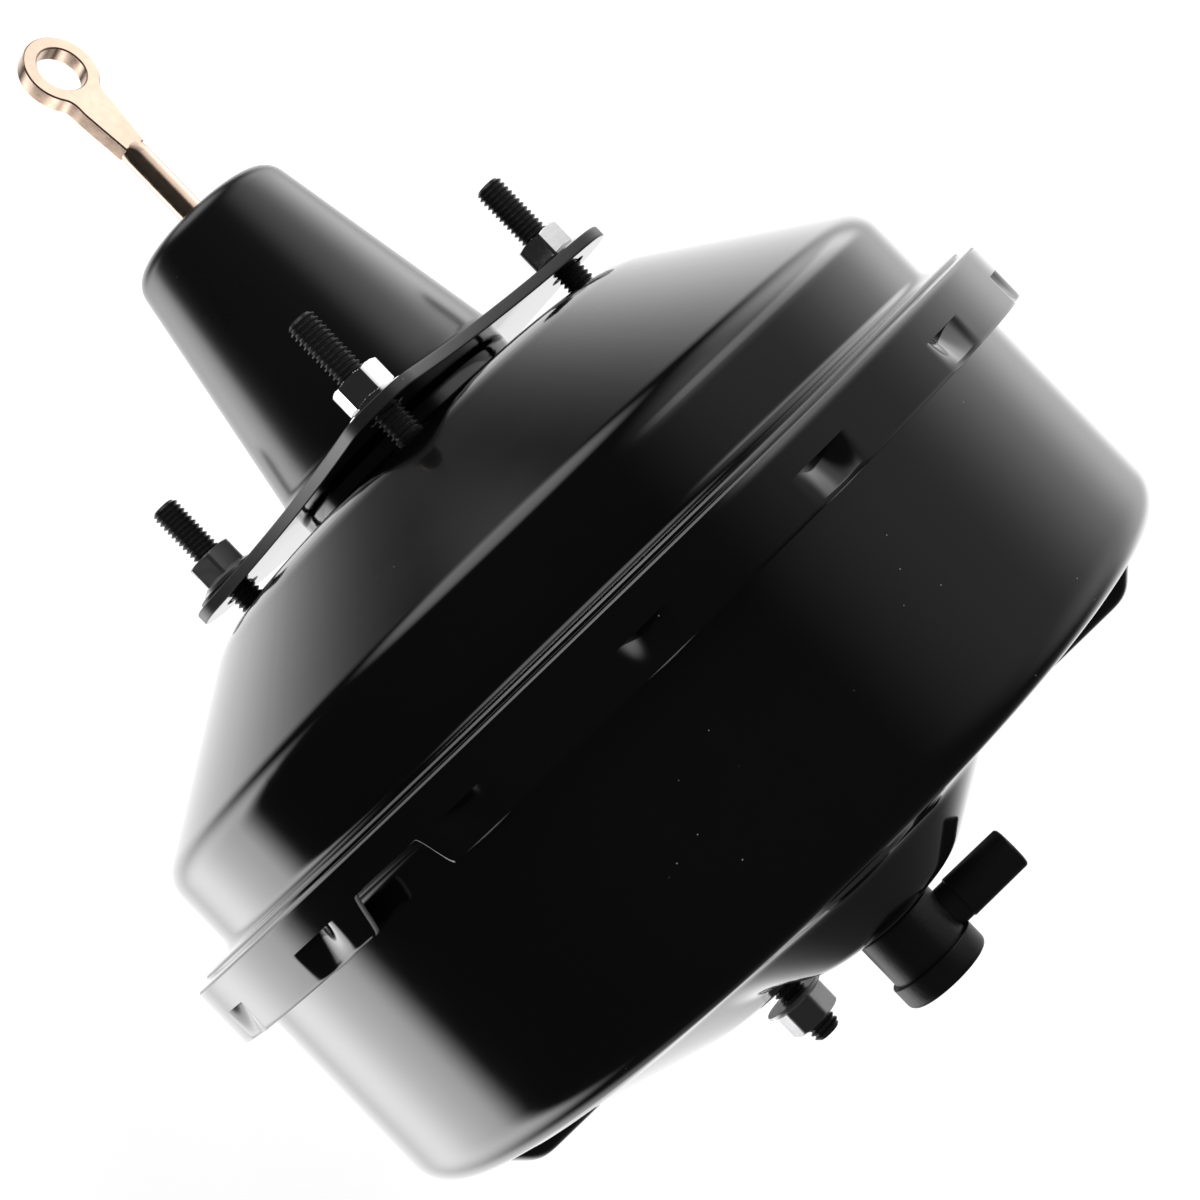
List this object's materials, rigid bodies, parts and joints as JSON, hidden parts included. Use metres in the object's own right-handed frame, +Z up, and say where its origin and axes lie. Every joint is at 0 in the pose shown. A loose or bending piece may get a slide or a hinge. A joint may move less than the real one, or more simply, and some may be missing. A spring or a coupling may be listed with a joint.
{
  "type": "vacuum brake booster",
  "caption": "Tandem vacuum brake booster: crimped black steel shells, studded mounting plate, tapered snout cover, eyed push rod, master cylinder pad and elbow check valve.",
  "frame": {"origin": "on the booster axis in the rear face of the mounting plate, centre of the four firewall studs", "axes": "+X along the axis towards the master cylinder, +Z up, +Y to the side; the firewall studs stand at both signs of Y and Z"},
  "size_m": [0.3239, 0.273, 0.273],
  "materials": {
    "shell_black": "gloss",
    "cover_black": "satin",
    "plate_black": "satin",
    "stud_black": "black plated",
    "nut_zinc": "bright zinc plated",
    "raw_steel": "satin",
    "spring_steel": "satin",
    "divider_alloy": "satin",
    "rod_gold": "gold coloured zinc plating",
    "hub_plastic": "moulded",
    "seal_rubber": "moulded",
    "filter_foam": "felted",
    "valve_plastic": "moulded"
  },
  "bodies": {
    "housing": {"rear_shell": "shell_black", "front_shell": "shell_black", "mounting_plate": "plate_black", "snout_cover": "cover_black", "firewall_studs": "stud_black", "firewall_nuts": "nut_zinc", "stud_washer": "plate_black", "rear_reinforcement": "raw_steel", "front_reinforcement": "raw_steel", "master_cylinder_studs": "stud_black", "master_cylinder_nuts": "nut_zinc", "divider": "divider_alloy", "divider_bearing": "hub_plastic", "divider_seal": "seal_rubber", "rear_bearing": "hub_plastic", "rear_seal": "seal_rubber", "seal_retainer": "raw_steel", "front_seal": "seal_rubber", "check_valve_grommet": "seal_rubber"},
    "power_piston": {"valve_hub": "hub_plastic", "primary_diaphragm": "seal_rubber", "secondary_diaphragm": "seal_rubber", "primary_plate": "raw_steel", "secondary_plate": "raw_steel", "plate_retainers": "raw_steel", "stop_key": "raw_steel", "poppet_valve": "seal_rubber", "poppet_retainer": "raw_steel", "poppet_spring": "spring_steel", "rod_return_spring": "spring_steel", "air_filter": "filter_foam", "reaction_disc": "seal_rubber", "output_rod": "raw_steel", "output_rod_retainer": "raw_steel", "return_spring": "spring_steel"},
    "plunger": {"plunger": "raw_steel", "ball_retainer": "raw_steel"},
    "push_rod": {"push_rod": "rod_gold"},
    "check_valve": {"check_valve_elbow": "valve_plastic", "check_valve_cap": "valve_plastic", "check_valve_spring": "spring_steel"},
    "check_valve_disc": {"check_valve_disc": "seal_rubber"}
  },
  "joints": [
    {"name": "piston_slide", "type": "slide", "parent": "housing", "child": "power_piston", "axis": [1, 0, 0], "range_m": [0, 0.032], "stiffness_N_per_m": 2500, "springref_m": -0.04, "deforming": ["return_spring", "primary_diaphragm", "secondary_diaphragm"]},
    {"name": "plunger_slide", "type": "slide", "parent": "power_piston", "child": "plunger", "axis": [1, 0, 0], "range_m": [0, 0.0024], "stiffness_N_per_m": 3000, "springref_m": -0.008, "deforming": ["poppet_valve", "poppet_spring", "rod_return_spring"]},
    {"name": "rod_tilt", "type": "hinge", "parent": "plunger", "child": "push_rod", "pos_m": [0.03, 0, 0], "axis": [0, 0, 1], "range_deg": [-1.5, 1.5], "stiffness_Nm_per_rad": 2},
    {"name": "check_valve_swivel", "type": "hinge", "parent": "housing", "child": "check_valve", "pos_m": [0.17, -0.04478, 0.05393], "axis": [1, 0, 0], "continuous": true},
    {"name": "check_valve_lift", "type": "slide", "parent": "check_valve", "child": "check_valve_disc", "axis": [1, 0, 0], "range_m": [0, 0.0015], "stiffness_N_per_m": 60, "springref_m": -0.003, "deforming": ["check_valve_spring"]}
  ]
}
